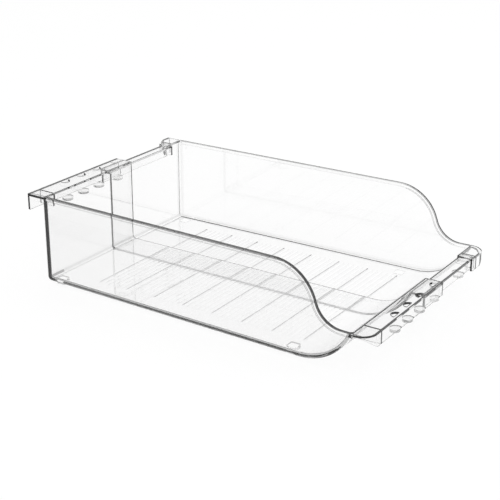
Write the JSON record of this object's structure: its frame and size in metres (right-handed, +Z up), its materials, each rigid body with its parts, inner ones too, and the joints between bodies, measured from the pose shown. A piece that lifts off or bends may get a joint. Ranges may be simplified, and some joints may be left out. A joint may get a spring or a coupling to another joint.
{
  "type": "expandable fridge drawer organizer",
  "caption": "Clear fridge drawer tray with a low curved front, straight side walls and hooked rims, in two halves that slide in one another to set its width.",
  "frame": {"origin": "middle of the footprint's box, on the surface the feet stand on, with the halves drawn fully apart", "axes": "+X to the right half, +Y to the rear, away from the low front, +Z up"},
  "size_m": [0.2166, 0.3412, 0.0817],
  "materials": {
    "clear_plastic": "clear polished"
  },
  "bodies": {
    "left_half": {"left_tray_half": "clear_plastic"},
    "right_half": {"right_tray_half": "clear_plastic"}
  },
  "joints": [
    {"name": "width_slide", "type": "slide", "parent": "left_half", "child": "right_half", "axis": [1, 0, 0], "range_m": [-0.0455, 0]}
  ]
}
